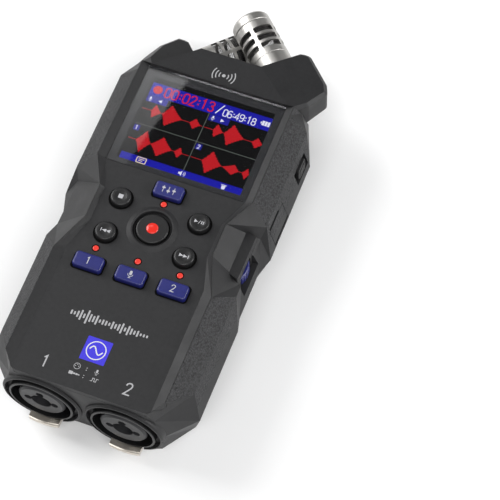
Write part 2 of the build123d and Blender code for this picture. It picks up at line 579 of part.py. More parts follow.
# ------------------------------------------------------------------ power and the rest
def save_power():
    x0, x1, y0, y1 = DOOR
    door = block(x0, x1, y0, y1, BACK_Z, BACK_Z + 1.3)
    for i in range(4):
        y = y0 + 3.0 + 1.6 * i
        door -= block(-6.0, 6.0, y - 0.3, y + 0.3, BACK_Z - 1, BACK_Z + 0.4)
    door += block(-12.0, 12.0, y1 - 1.0, y1 + 2.0, BACK_Z + 0.9, BACK_Z + 1.7)
    save("battery_door", door)
    cell_y1 = CELL_Y0 + CELL_LENGTH
    cradle = block(-15.4, 15.4, CELL_Y0 - 3.4, cell_y1 + 1.8, -29.0, -14.4)
    cradle -= block(-14.75, 14.75, CELL_Y0 - 2.6, cell_y1 + 1.0, -30.0, -15.0)
    save("battery_cradle", cradle)
    for node, x, tip in (("battery_left", -CELL_X, cell_y1), ("battery_right", CELL_X, CELL_Y0)):
        way = 1 if tip == cell_y1 else -1
        low = CELL_Y0 if way > 0 else CELL_Y0 + 1.2
        body = barrel(x, CELL_Z, low, low + CELL_LENGTH - 1.2, CELL_R)
        body = fillet(body.edges().filter_by(GeomType.CIRCLE), 0.5)
        nub = barrel(x, CELL_Z, min(tip, tip - 1.6 * way), max(tip, tip - 1.6 * way), 2.7)
        save(node, body + nub)
    contacts = []
    for x in (-CELL_X, CELL_X):
        contacts.append(block(x - 5, x + 5, CELL_Y0 - 2.5, CELL_Y0 - 2.1, -27, -17.5))
        contacts.append(block(x - 5, x + 5, cell_y1 + 0.4, cell_y1 + 0.8, -27, -17.5))
    save("battery_contacts", *contacts)

    cone = Pos(SPEAKER_X, SPEAKER_Y, -29.2 + 2.4) * Cylinder(SPEAKER_R, 4.8)
    cone -= Pos(SPEAKER_X, SPEAKER_Y, -29.2) * Cylinder(SPEAKER_R - 1.2, 1.2)
    cone += Pos(SPEAKER_X, SPEAKER_Y, -28.7) * Sphere(2.6) & post(SPEAKER_X, SPEAKER_Y, -29.0, -25, 9)
    save("speaker", cone)
    nut = post(0, TRIPOD_Y, BACK_Z, -25.6, 4.4) - post(0, TRIPOD_Y, BACK_Z - 1, -25, TRIPOD_BORE_R)
    save("tripod_nut", nut)
    screws = []
    for x, y in SCREWS:
        screw = post(x, y, BACK_Z + 0.15, BACK_Z + 1.35, 2.3) + post(x, y, BACK_Z + 1, -8.0, 1.1)
        screws.append(screw - Pos(x, y, BACK_Z) * extrude(RegularPolygon(1.0, 6), 0.9))
    save("case_screws", *screws)


os.makedirs("parts", exist_ok=True)
save("front_shell", front_shell())
save("rear_shell", rear_shell())
save("front_panel", front_panel())
save_keys()
save_display()
save_microphones()
save_jacks()
save_side_controls()
save_sockets()
save_power()
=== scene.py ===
"""Looks of a handheld field recorder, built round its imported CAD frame.

Everything is in metres, in the row's frame. Lengths written as plain numbers are millimetres in
the design datum: x and y as in the row with y = 0 on the rewind key's side of the record key, and
z = 0 on the control face. at() turns them into row coordinates.
"""

import math

import bmesh
import bpy
from mathutils import Matrix, Vector


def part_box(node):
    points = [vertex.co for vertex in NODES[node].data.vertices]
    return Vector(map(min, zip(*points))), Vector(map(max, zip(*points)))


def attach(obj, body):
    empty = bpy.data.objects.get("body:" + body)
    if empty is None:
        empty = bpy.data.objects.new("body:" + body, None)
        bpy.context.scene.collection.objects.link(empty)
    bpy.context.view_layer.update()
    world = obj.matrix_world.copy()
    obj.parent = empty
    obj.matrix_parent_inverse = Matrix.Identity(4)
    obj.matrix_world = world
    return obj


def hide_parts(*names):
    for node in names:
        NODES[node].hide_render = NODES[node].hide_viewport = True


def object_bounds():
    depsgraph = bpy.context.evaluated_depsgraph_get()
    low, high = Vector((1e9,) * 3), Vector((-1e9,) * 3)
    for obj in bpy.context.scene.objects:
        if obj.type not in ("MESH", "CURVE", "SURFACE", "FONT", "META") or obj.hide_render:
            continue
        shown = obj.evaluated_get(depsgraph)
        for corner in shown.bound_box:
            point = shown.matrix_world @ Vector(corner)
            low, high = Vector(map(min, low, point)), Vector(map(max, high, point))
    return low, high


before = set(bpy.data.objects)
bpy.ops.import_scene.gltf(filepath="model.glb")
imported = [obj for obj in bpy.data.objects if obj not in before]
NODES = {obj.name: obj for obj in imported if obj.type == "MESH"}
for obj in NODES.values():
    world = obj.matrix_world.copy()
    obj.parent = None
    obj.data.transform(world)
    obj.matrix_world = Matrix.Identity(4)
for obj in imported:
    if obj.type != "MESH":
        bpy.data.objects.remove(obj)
CAD_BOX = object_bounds()

MM = 0.001
ROOT = "recorder"
WINDOW_LOW, WINDOW_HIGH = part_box("display_window")
RECORD_LOW, RECORD_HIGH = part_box("record_button")
FACE_Z = WINDOW_HIGH.z
RECORD_Y = 1.6                      # the record key's centre in the design datum
ROW_Y = (RECORD_LOW.y + RECORD_HIGH.y) / 2 - RECORD_Y * MM


def at(x, y, z=0.0):
    """Row coordinates of a point given in millimetres in the design datum."""
    return Vector((x * MM, ROW_Y + y * MM, FACE_Z + z * MM))


# ------------------------------------------------------------------ camera, light and floor
LENS, SENSOR_WIDTH = 150.0, 36.0    # millimetres
CAMERA_RIGHT = Vector((0.93559, 0.35274, -0.01589))
CAMERA_UP = Vector((-0.30307, 0.82531, 0.47647))
CAMERA_PLACE = (143.2, -270.1, 548.7)
CAMERA_REACH = 10.0                 # far clipping distance, in metres

STUDIO_COLOUR, STUDIO_STRENGTH = (0.97, 0.98, 1.0, 1), 0.10
FLOOR_HALF, FLOOR_GAP = 3.0, 0.0002
# name, place, target, width and length in metres, and power in watts
LIGHTS = [
    ("key", (-1.0, 0.25, 0.75), (0, 0, 0), (0.9, 0.9), 17.0),
    ("front_fill", (0.35, -0.9, 1.2), (0, 0, 0), (1.4, 1.0), 17.0),
    ("back_fill", (0.9, 0.9, 0.8), (0, 0.05, 0), (1.4, 1.2), 4.5),
    ("right_fill", (0.85, 0.15, 0.4), (0, 0, 0), (0.5, 0.35), 5.0),
]
# the glare card, in metres from the design datum: its ends along Y, its right edge's x there
CARD_Y, CARD_EDGE_X = (0.405, 0.66), (-0.256, -0.208)
CARD_WIDTH, CARD_HEIGHT, CARD_GLOW = 0.45, 0.8, 3.6


def make_camera():
    data = bpy.data.cameras.new("camera")
    data.lens = LENS
    data.sensor_width = SENSOR_WIDTH
    camera = bpy.data.objects.new("camera", data)
    bpy.context.scene.collection.objects.link(camera)
    turn = Matrix((CAMERA_RIGHT, CAMERA_UP, CAMERA_RIGHT.cross(CAMERA_UP))).transposed()
    camera.rotation_euler = turn.to_euler()
    camera.location = at(*CAMERA_PLACE)
    data.clip_end = CAMERA_REACH
    bpy.context.scene.camera = camera


def glare_card():
    """Glowing card whose mirrored right edge crosses the screen's window, brighter towards +y."""
    (low, high), (edge_low, edge_high) = CARD_Y, CARD_EDGE_X
    corners = [(edge_low - CARD_WIDTH, low), (edge_low, low), (edge_high, high),
               (edge_high - CARD_WIDTH, high)]
    mesh = bpy.data.meshes.new("glare_card")
    mesh.from_pydata([(x, y + ROW_Y, CARD_HEIGHT + FACE_Z) for x, y in corners], [], [(3, 2, 1, 0)])
    card = bpy.data.objects.new("glare_card", mesh)
    bpy.context.scene.collection.objects.link(card)
    material = bpy.data.materials.new("card_light")
    material.use_nodes = True
    tree = material.node_tree
    tree.nodes.clear()
    output = tree.nodes.new("ShaderNodeOutputMaterial")
    place = tree.nodes.new("ShaderNodeTexCoord").outputs["Generated"]
    parts = add(tree, "ShaderNodeSeparateXYZ", {0: place})
    ramp = add(tree, "ShaderNodeMapRange", {"Value": parts.outputs["Y"], "To Min": 0.0,
                                            "To Max": CARD_GLOW})
    glow = add(tree, "ShaderNodeEmission", {"Strength": ramp.outputs[0]})
    tree.links.new(glow.outputs[0], output.inputs["Surface"])
    mesh.materials.append(material)


def area_light(name, place, target, size, power):
    data = bpy.data.lights.new(name, "AREA")
    data.shape = "RECTANGLE"
    data.size, data.size_y = size
    data.energy = power
    light = bpy.data.objects.new(name, data)
    light.location = place
    light.rotation_euler = (Vector(target) - Vector(place)).to_track_quat("-Z", "Y").to_euler()
    bpy.context.scene.collection.objects.link(light)


def make_stage():
    scene = bpy.context.scene
    scene.view_settings.view_transform = "Standard"
    world = bpy.data.worlds.new("studio")
    world.use_nodes = True
    background = world.node_tree.nodes["Background"]
    background.inputs["Color"].default_value = STUDIO_COLOUR
    background.inputs["Strength"].default_value = STUDIO_STRENGTH
    scene.world = world

    mesh = bpy.data.meshes.new("floor")
    corners = rectangle(-FLOOR_HALF, FLOOR_HALF, -FLOOR_HALF, FLOOR_HALF)
    mesh.from_pydata([(x, y, 0) for x, y in corners], [], [(0, 1, 2, 3)])
    floor = bpy.data.objects.new("floor", mesh)
    floor.location.z = CAD_BOX[0].z - FLOOR_GAP
    scene.collection.objects.link(floor)
    material, tree, shader = new_material("floor_paper")
    shader.inputs["Roughness"].default_value = 0.9
    shader.inputs["Specular IOR Level"].default_value = 0.2
    grain = add(tree, "ShaderNodeTexNoise", {"Scale": 9.0, "Detail": 3.0})
    tint = add(tree, "ShaderNodeMix", {"Factor": grain.outputs["Fac"], "A": (0.90, 0.90, 0.90, 1),
                                       "B": (0.92, 0.92, 0.92, 1)}, data_type="RGBA")
    tree.links.new(tint.outputs["Result"], shader.inputs["Base Color"])
    floor.data.materials.append(material)

    for light in LIGHTS:
        area_light(*light)
    glare_card()


# ------------------------------------------------------------------ node and mesh helpers
def new_material(name):
    material = bpy.data.materials.new(name)
    material.use_nodes = True
    tree = material.node_tree
    return material, tree, tree.nodes["Principled BSDF"]


def socket_of(node, key, side):
    """Input or output by name, or the colour pair of a Mix node, whose names repeat."""
    sockets = node.inputs if side == "in" else node.outputs
    is_colour_mix = node.bl_idname == "ShaderNodeMix" and node.data_type == "RGBA"
    if is_colour_mix and key in ("A", "B", "Result"):
        return [s for s in sockets if s.name == key and s.type == "RGBA"][0]
    return sockets[key]


def add(tree, kind, inputs=None, **settings):
    """New node with its settings, and its inputs set to values or linked to sockets."""
    made = tree.nodes.new(kind)
    for key, value in settings.items():
        setattr(made, key, value)
    for key, value in (inputs or {}).items():
        socket = socket_of(made, key, "in")
        if isinstance(value, bpy.types.NodeSocket):
            tree.links.new(value, socket)
        else:
            socket.default_value = value
    return made


def maths(tree, operation, *values):
    """Output of a Math node."""
    return add(tree, "ShaderNodeMath", dict(enumerate(values)), operation=operation).outputs[0]


NOISE_LOW, NOISE_HIGH = 0.3, 0.7            # most of a noise's values lie between these


def noise_of(tree, place, size, detail):
    """Noise between 0 and 1 with the given feature size in millimetres."""
    return add(tree, "ShaderNodeTexNoise", {"Vector": place, "Scale": 1 / (size * MM),
                                            "Detail": detail}).outputs["Fac"]


def spread(tree, noise, low, high):
    """Noise stretched to run between two limits."""
    return add(tree, "ShaderNodeMapRange", {"Value": noise, "From Min": NOISE_LOW,
                                            "From Max": NOISE_HIGH, "To Min": low,
                                            "To Max": high}).outputs[0]


def surface_place(tree):
    """Object-space position, which moves with the piece."""
    return tree.nodes.new("ShaderNodeTexCoord").outputs["Object"]


def bumped(tree, height, depth, strength=1.0):
    """Bump node for a height between 0 and 1 that stands for the given depth in millimetres."""
    return add(tree, "ShaderNodeBump", {"Height": height, "Distance": depth * MM,
                                        "Strength": strength})


def grain_bump(tree, place, size, depth):
    """Bump node for fine noise with the given feature size and depth in millimetres."""
    return bumped(tree, noise_of(tree, place, size, 2.0), depth)


def varied(tree, place, size, low, high, detail=3.0):
    """Value that drifts between two limits over patches of the given size in millimetres."""
    return spread(tree, noise_of(tree, place, size, detail), low, high)


def blended(tree, factor, low, high):
    """Colour between two colour sockets or values with an alpha."""
    mix = add(tree, "ShaderNodeMix", {"A": low, "B": high}, data_type="RGBA")
    tree.links.new(factor, mix.inputs["Factor"])
    return socket_of(mix, "Result", "out")


def shaded(tree, factor, colour, low, high):
    """The colour made darker and lighter by two multiples."""
    return blended(tree, factor, (*scaled(colour, low), 1), (*scaled(colour, high), 1))


def scaled(colour, factor):
    return tuple(min(1.0, c * factor) for c in colour)


MOULD_GRAIN, MOULD_DEPTH = 0.22, 0.012      # millimetres


def moulded(name, colour, roughness, grain=MOULD_GRAIN, depth=MOULD_DEPTH, specular=0.4,
            mottle=0.10):
    """Spark-eroded moulded plastic: fine grain, slight patches of gloss and of shade."""
    material, tree, shader = new_material(name)
    place = surface_place(tree)
    shade = varied(tree, place, 1.3, 0.0, 1.0, detail=5.0)
    gloss = varied(tree, place, 6.0, roughness - 0.04, roughness + 0.05)
    tree.links.new(shaded(tree, shade, colour, 1 - mottle, 1 + mottle), shader.inputs["Base Color"])
    tree.links.new(gloss, shader.inputs["Roughness"])
    tree.links.new(grain_bump(tree, place, grain, depth).outputs[0], shader.inputs["Normal"])
    shader.inputs["Specular IOR Level"].default_value = specular
    return material


METAL_GRAIN, METAL_DEPTH = 0.15, 0.004      # millimetres
LINE_STRETCH = (0.08, 0.08, 3.0)            # noise scale along and across the brushed lines


def metal(name, colour, roughness):
    """Satin metal with a fine blasted grain."""
    material, tree, shader = new_material(name)
    place = surface_place(tree)
    shade = varied(tree, place, 1.8, 0.0, 1.0, detail=4.0)
    gloss = varied(tree, place, 2.5, roughness - 0.05, roughness + 0.06)
    tree.links.new(shaded(tree, shade, colour, 0.92, 1.06), shader.inputs["Base Color"])
    tree.links.new(gloss, shader.inputs["Roughness"])
    tree.links.new(grain_bump(tree, place, METAL_GRAIN, METAL_DEPTH).outputs[0],
                   shader.inputs["Normal"])
    shader.inputs["Metallic"].default_value = 1.0
    return material


def brushed_metal(name, colour, roughness, turn):
    """Satin metal with faint fine lines, in the planes that the turn lays level."""
    material, tree, shader = new_material(name)
    place = surface_place(tree)
    aligned = add(tree, "ShaderNodeMapping", {"Vector": place, "Rotation": turn})
    stretched = add(tree, "ShaderNodeMapping", {"Vector": aligned.outputs[0],
                                                "Scale": LINE_STRETCH})
    lines = noise_of(tree, stretched.outputs[0], 0.35, 4.0)
    shade = varied(tree, place, 2.5, 0.0, 1.0, detail=4.0)
    tree.links.new(shaded(tree, shade, colour, 0.93, 1.05), shader.inputs["Base Color"])
    tree.links.new(spread(tree, lines, roughness - 0.06, roughness + 0.08),
                   shader.inputs["Roughness"])
    tree.links.new(bumped(tree, lines, METAL_DEPTH).outputs[0], shader.inputs["Normal"])
    shader.inputs["Metallic"].default_value = 1.0
    return material


def glowing(name, colour, strength, roughness, specular=0.5, body=0.25):
    """Lit surface, such as a picture element of the screen or a lamp."""
    material, _, shader = new_material(name)
    shader.inputs["Base Color"].default_value = (*scaled(colour, body), 1)
    shader.inputs["Specular IOR Level"].default_value = specular
    shader.inputs["Roughness"].default_value = roughness
    shader.inputs["Emission Color"].default_value = (*colour, 1)
    shader.inputs["Emission Strength"].default_value = strength
    return material


def printed_ink(name, colour):
    """Thin matt printing ink with a slightly uneven edge to its shade."""
    material, tree, shader = new_material(name)
    place = surface_place(tree)
    shade = varied(tree, place, 0.4, 0.0, 1.0)
    tree.links.new(shaded(tree, shade, colour, 0.9, 1.05), shader.inputs["Base Color"])
    shader.inputs["Roughness"].default_value = 0.55
    shader.inputs["Specular IOR Level"].default_value = 0.3
    return material


def window_glass(name):
    """Clear cover of the screen. Lamp rays pass straight through, so what lies under it is lit."""
    material, tree, shader = new_material(name)
    output = [n for n in tree.nodes if n.bl_idname == "ShaderNodeOutputMaterial"][0]
    shader.inputs["Base Color"].default_value = (0.93, 0.94, 0.96, 1)
    shader.inputs["Roughness"].default_value = 0.02
    shader.inputs["IOR"].default_value = 1.5
    shader.inputs["Transmission Weight"].default_value = 1.0
    clear = add(tree, "ShaderNodeBsdfTransparent", {"Color": (0.9, 0.9, 0.92, 1)})
    path = tree.nodes.new("ShaderNodeLightPath")
    mix = tree.nodes.new("ShaderNodeMixShader")
    tree.links.new(path.outputs["Is Shadow Ray"], mix.inputs[0])
    tree.links.new(shader.outputs[0], mix.inputs[1])
    tree.links.new(clear.outputs[0], mix.inputs[2])
    tree.links.new(mix.outputs[0], output.inputs["Surface"])
    return material


# sizes in millimetres of the side facets' leather grain
PEBBLE_SIZE, WRINKLE_SIZE, LEATHER_DEPTH = 0.55, 0.38, 0.17


def casing_material(name, colour, roughness, grained_mask):
    """Shell plastic: satin on most facets, leather-grained where grained_mask says so, with painted
    highlight and shade on the grain: crests lighter, hollows darker.
    """
    material, tree, shader = new_material(name)
    place = surface_place(tree)
    mask = grained_mask(tree, place)
    shade = varied(tree, place, 1.3, 0.0, 1.0, detail=5.0)
    smooth = shaded(tree, shade, colour, 0.88, 1.10)
    base_rough = varied(tree, place, 6.0, roughness - 0.04, roughness + 0.05)
    rough = maths(tree, "ADD", base_rough, maths(tree, "MULTIPLY", mask, 0.12))
    tree.links.new(rough, shader.inputs["Roughness"])
    pebbles = add(tree, "ShaderNodeTexVoronoi", {"Vector": place, "Scale": 1 / (PEBBLE_SIZE * MM)},
                  feature="SMOOTH_F1")
    wrinkles = noise_of(tree, place, WRINKLE_SIZE, 3.0)
    height = maths(tree, "SUBTRACT", wrinkles, pebbles.outputs["Distance"])
    crests = add(tree, "ShaderNodeMapRange", {"Value": height, "From Min": -0.25, "From Max": 0.45})
    # painted highlight and shade: the grain's crests are coloured up to three times lighter and its
    # hollows down to a third, as light falling on the relief would show
    painted_relief_shade = shaded(tree, crests.outputs[0], colour, 0.3, 3.0)
    tree.links.new(blended(tree, mask, smooth, painted_relief_shade), shader.inputs["Base Color"])
    leather = bumped(tree, height, LEATHER_DEPTH, mask)
    fine = grain_bump(tree, place, MOULD_GRAIN, MOULD_DEPTH)
    tree.links.new(leather.outputs[0], fine.inputs["Normal"])
    tree.links.new(fine.outputs[0], shader.inputs["Normal"])
    shader.inputs["Specular IOR Level"].default_value = 0.36
    return material


LEVEL_Y, SIDE_X = 0.05, 0.45                # limits of the normal's parts on a side facet


def flat_along_y(tree):
    """1 where the surface faces sideways with no slope along Y."""
    normal = tree.nodes.new("ShaderNodeTexCoord").outputs["Normal"]
    parts = add(tree, "ShaderNodeSeparateXYZ", {0: normal})
    level = maths(tree, "LESS_THAN", maths(tree, "ABSOLUTE", parts.outputs["Y"]), LEVEL_Y)
    side = maths(tree, "GREATER_THAN", maths(tree, "ABSOLUTE", parts.outputs["X"]), SIDE_X)
    return maths(tree, "MULTIPLY", level, side)


# In millimetres. The front shell's grain starts at a distance from the middle that grows with the
# depth below the rim: slope and start of the two lines, and the depth it ends at. The rear shell's
# grain leaves out the waist, and ends at a height.
RIM_HEIGHT, GRAIN_END_DEPTH = 1.5, 12.6
GRAIN_LINES = ((0.62, 24.5), (0.30, 27.55))
WAIST_HALF, GRAIN_FLOOR = 13.5, -26.0


def front_grain(tree, place):
    """Mask of the grained facets above the split: the long side facets, not the waist."""
    parts = add(tree, "ShaderNodeSeparateXYZ", {0: place})
    depth = maths(tree, "SUBTRACT", FACE_Z + RIM_HEIGHT * MM, parts.outputs["Z"])
    lines = [maths(tree, "MULTIPLY_ADD", depth, slope, start * MM) for slope, start in GRAIN_LINES]
    limit = maths(tree, "MINIMUM", *lines)
    outside = maths(tree, "GREATER_THAN", maths(tree, "ABSOLUTE", parts.outputs["X"]), limit)
    above = maths(tree, "LESS_THAN", depth, GRAIN_END_DEPTH * MM)
    return maths(tree, "MULTIPLY", maths(tree, "MULTIPLY", outside, above), flat_along_y(tree))


def rear_grain(tree, place):
    """Mask of the grained facets below the split, either side of the waist."""
    parts = add(tree, "ShaderNodeSeparateXYZ", {0: place})
    away = maths(tree, "ABSOLUTE", maths(tree, "SUBTRACT", parts.outputs["Y"], ROW_Y))
    ends = maths(tree, "GREATER_THAN", away, WAIST_HALF * MM)
    steep = maths(tree, "GREATER_THAN", parts.outputs["Z"], FACE_Z + GRAIN_FLOOR * MM)
    return maths(tree, "MULTIPLY", maths(tree, "MULTIPLY", ends, steep), flat_along_y(tree))


# ------------------------------------------------------------------ materials
CHARCOAL = (0.0145, 0.0145, 0.0155)
NAVY = (0.014, 0.017, 0.125)
SILVER = (0.46, 0.45, 0.43)
# a quarter turn about X, then an eighth about Z: the lines lie in planes across Y
MIC_TURN = {"front": (math.radians(90), 0, math.radians(-45)),
            "rear": (math.radians(90), 0, math.radians(45))}


def picture_element(name, colour):
    """Part of the screen's picture: it glows, and reflects almost nothing."""
    return glowing(name, colour, 1.0, 1.0, specular=0.0, body=0.02)


def body_materials():
    return {
        "front_shell": casing_material("casing_front", CHARCOAL, 0.50, front_grain),
        "rear_shell": casing_material("casing_rear", CHARCOAL, 0.50, rear_grain),
        "panel": moulded("panel_plastic", (0.0185, 0.0185, 0.0195), 0.54, specular=0.3),
        "grey_key": moulded("grey_key_plastic", (0.012, 0.012, 0.0125), 0.40, grain=0.18,
                            depth=0.006),
        "blue_key": moulded("blue_key_plastic", NAVY, 0.36, grain=0.18, depth=0.005, specular=0.5),
        "black": moulded("black_plastic", (0.005, 0.005, 0.0055), 0.55, specular=0.2),
        "jack_black": moulded("jack_black_plastic", (0.006, 0.006, 0.0065), 0.38, depth=0.006),
        "jack_grey": moulded("jack_grey_plastic", (0.022, 0.022, 0.024), 0.46),
        "rubber": moulded("silicone_rubber", (0.02, 0.02, 0.02), 0.75, grain=0.4, depth=0.02),
        "board": moulded("circuit_board", (0.02, 0.10, 0.045), 0.40, grain=0.5, depth=0.01),
        "glass": window_glass("window_glass"),
        "nickel": metal("satin_nickel", (0.66, 0.61, 0.54), 0.36),
        "steel": metal("sheet_steel", (0.50, 0.50, 0.51), 0.34),
        "brass": metal("plated_brass", (0.70, 0.50, 0.22), 0.28),
        "wire": metal("woven_wire", (0.16, 0.155, 0.15), 0.42),
        "mic_front": brushed_metal("turned_silver_front", SILVER, 0.40, MIC_TURN["front"]),
        "mic_rear": brushed_metal("turned_silver_rear", SILVER, 0.40, MIC_TURN["rear"]),
        "battery": moulded("battery_sleeve", (0.16, 0.11, 0.05), 0.32, depth=0.002),
        "white_ink": printed_ink("ink_white", (0.62, 0.62, 0.63)),
        "grey_ink": printed_ink("ink_grey", (0.36, 0.36, 0.37)),
        "blue_ink": printed_ink("ink_blue", (0.045, 0.035, 0.55)),
        "key_ink": printed_ink("ink_key", (0.42, 0.42, 0.44)),
        # painted shade: near-black matt finish for flat sheets laid in gaps where shade falls,
        # round the keys, lamps and window
        "painted_gap_shade": moulded("gap_shadow", (0.0025, 0.0025, 0.0025), 0.8, specular=0.05),
        "window_print": moulded("window_print", (0.014, 0.014, 0.0145), 0.6, grain=0.5, depth=0.002,
                                specular=0.1, mottle=0.03),
    }


def lit_materials():
    return {
        "screen_off": picture_element("screen_black", (0.0006, 0.0006, 0.0008)),
        "screen_blue": picture_element("screen_blue", (0.008, 0.008, 0.36)),
        "screen_tag": picture_element("screen_tag", (0.012, 0.012, 0.30)),
        "screen_grey": picture_element("screen_grey", (0.14, 0.16, 0.14)),
        "screen_red": picture_element("screen_red", (0.52, 0.008, 0.014)),
        "screen_bright_red": picture_element("screen_bright_red", (0.62, 0.012, 0.02)),
        "screen_white": picture_element("screen_white", (0.80, 0.80, 0.90)),
        "screen_cream": picture_element("screen_cream", (0.85, 0.70, 0.45)),
        "record_red": glowing("record_red", (0.72, 0.03, 0.02), 0.9, 0.12),
        "lamp": glowing("lamp_red", (0.75, 0.05, 0.035), 0.9, 0.10),
    }


NODE_MATERIALS = {
    "front_shell": "front_shell", "rear_shell": "rear_shell", "front_panel": "panel",
    "stop_button": "grey_key", "rewind_button": "grey_key", "play_button": "grey_key",
    "forward_button": "grey_key", "record_button": "grey_key", "record_ring": "black",
    "mixer_button": "blue_key", "track_1_button": "blue_key", "mic_button": "blue_key",
    "track_2_button": "blue_key", "lamp_lenses": "lamp", "keypad_membrane": "rubber",
    "display_window": "glass", "lcd_panel": "screen_off", "lcd_frame": "steel",
    "main_board": "board",
    "jack_board": "board", "selection_dial": "blue_key", "dial_encoder": "steel",
    "volume_wheel": "black", "volume_pot": "steel", "power_slider": "grey_key",
    "power_switch": "steel",
    "card_door": "front_shell", "card_socket": "steel", "headphone_socket": "jack_black",
    "line_out_socket": "jack_black", "usb_port": "steel", "battery_door": "rear_shell",
    "battery_cradle": "black", "battery_left": "battery", "battery_right": "battery",
    "battery_contacts": "steel", "speaker": "black", "tripod_nut": "brass", "case_screws": "steel",
}
for end in ("front", "rear"):
    for part in ("collar", "shell", "cap"):
        NODE_MATERIALS[f"mic_{part}_{end}"] = f"mic_{end}"
    NODE_MATERIALS[f"mic_mesh_{end}"] = "wire"
    NODE_MATERIALS[f"mic_element_{end}"] = "black"
for number in (1, 2):
    NODE_MATERIALS[f"jack_housing_{number}"] = "jack_black"
    NODE_MATERIALS[f"jack_insert_{number}"] = "jack_grey"
    NODE_MATERIALS[f"jack_contacts_{number}"] = "brass"
    NODE_MATERIALS[f"release_tab_{number}"] = "nickel"

# CAD nodes whose edges get a small moulded radius, in millimetres
EDGE_RADII = {"front_shell": 0.25, "rear_shell": 0.25, "front_panel": 0.22, "jack_insert_1": 0.15,
              "jack_insert_2": 0.15, "card_door": 0.12, "battery_door": 0.15, "power_slider": 0.12}
WELD_GAP, EDGE_ANGLE = 0.001, 18            # millimetres and degrees


def dress_nodes(materials):
    for node, key in NODE_MATERIALS.items():
        piece = NODES[node]
        piece.data.materials.clear()
        piece.data.materials.append(materials[key])
    for node, radius in EDGE_RADII.items():
        piece = NODES[node]
        weld = piece.modifiers.new("weld", "WELD")
        weld.merge_threshold = WELD_GAP * MM
        bevel = piece.modifiers.new("edge_radius", "BEVEL")
        bevel.width = radius * MM
        bevel.segments = 2
        bevel.limit_method = "ANGLE"
        bevel.angle_limit = math.radians(EDGE_ANGLE)
        bevel.miter_outer = "MITER_ARC"
        normals = piece.modifiers.new("even_normals", "WEIGHTED_NORMAL")
        normals.keep_sharp = True


def object_from(form, name, material, smooth=False):
    """Object with the form's faces and one material. The form is freed."""
    mesh = bpy.data.meshes.new(name)
    form.to_mesh(mesh)
    form.free()
    if smooth:
        mesh.shade_smooth()
    mesh.materials.append(material)
    piece = bpy.data.objects.new(name, mesh)
    bpy.context.scene.collection.objects.link(piece)
    return piece


# ------------------------------------------------------------------ flat printed and lit shapes
def ring_points(radius, count, start=0.0, sweep=360.0, centre=(0.0, 0.0)):
    """Points of an arc in millimetres. A whole turn leaves its last point out."""
    steps = count if abs(sweep) >= 360 else count - 1
    points = []
    for i in range(count):
        angle = math.radians(start + sweep * i / steps)
        points.append((centre[0] + radius * math.cos(angle), centre[1] + radius * math.sin(angle)))
    return points


def rectangle(x0, x1, y0, y1):
    return [(x0, y0), (x1, y0), (x1, y1), (x0, y1)]


def rounded(x0, x1, y0, y1, radius, count=5):
    corners = [(x1 - radius, y1 - radius, 0), (x0 + radius, y1 - radius, 90),
               (x0 + radius, y0 + radius, 180), (x1 - radius, y0 + radius, 270)]
    points = []
    for x, y, start in corners:
        points += ring_points(radius, count, start, 90, (x, y))
    return points


def ribbon(line, width):
    """Closed outline of a line of points drawn with a pen of the given width."""
    left, right = [], []
    for i, point in enumerate(line):
        here = Vector(point)
        before = (here - Vector(line[i - 1])).normalized() if i > 0 else None
        after = (Vector(line[i + 1]) - here).normalized() if i < len(line) - 1 else None
        before, after = before or after, after or before
        along = (before + after).normalized()
        across = Vector((-along.y, along.x))
        reach = width / 2 / max(0.35, across.dot(Vector((-before.y, before.x))))
        left.append(tuple(here + across * reach))
        right.append(tuple(here - across * reach))
    return left + right[::-1]


def moved(outlines, x, y, scale=1.0):
    return [[(x + scale * px, y + scale * py) for px, py in outline] for outline in outlines]


def mirrored(outlines):
    return [[(-x, y) for x, y in reversed(outline)] for outline in outlines]


def flat_piece(name, outlines, x, y, z, material, body, slot, thickness=0.03, height=None):
    """One piece of thin closed prisms. Outlines are in millimetres about (x, y), z is the height
    they stand on, and height(px, py) adds to it from point to point."""
    form = bmesh.new()
    for outline in outlines:
        area = sum(a[0] * b[1] - b[0] * a[1] for a, b in zip(outline, outline[1:] + outline[:1]))
        points = outline if area > 0 else outline[::-1]
        rise = [height(px, py) if height else 0.0 for px, py in points]
        low = [form.verts.new(at(x + px, y + py, z + h)) for (px, py), h in zip(points, rise)]
        high = [form.verts.new(at(x + px, y + py, z + h + thickness))
                for (px, py), h in zip(points, rise)]
        form.faces.new(low[::-1])
        form.faces.new(high)
        for i in range(len(points)):
            j = (i + 1) % len(points)
            form.faces.new((low[i], low[j], high[j], high[i]))
    form.normal_update()
    many_sided = [f for f in form.faces if len(f.verts) > 4]
    bmesh.ops.triangulate(form, faces=many_sided, ngon_method="EAR_CLIP")
    piece = object_from(form, name, material)
    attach(piece, body)


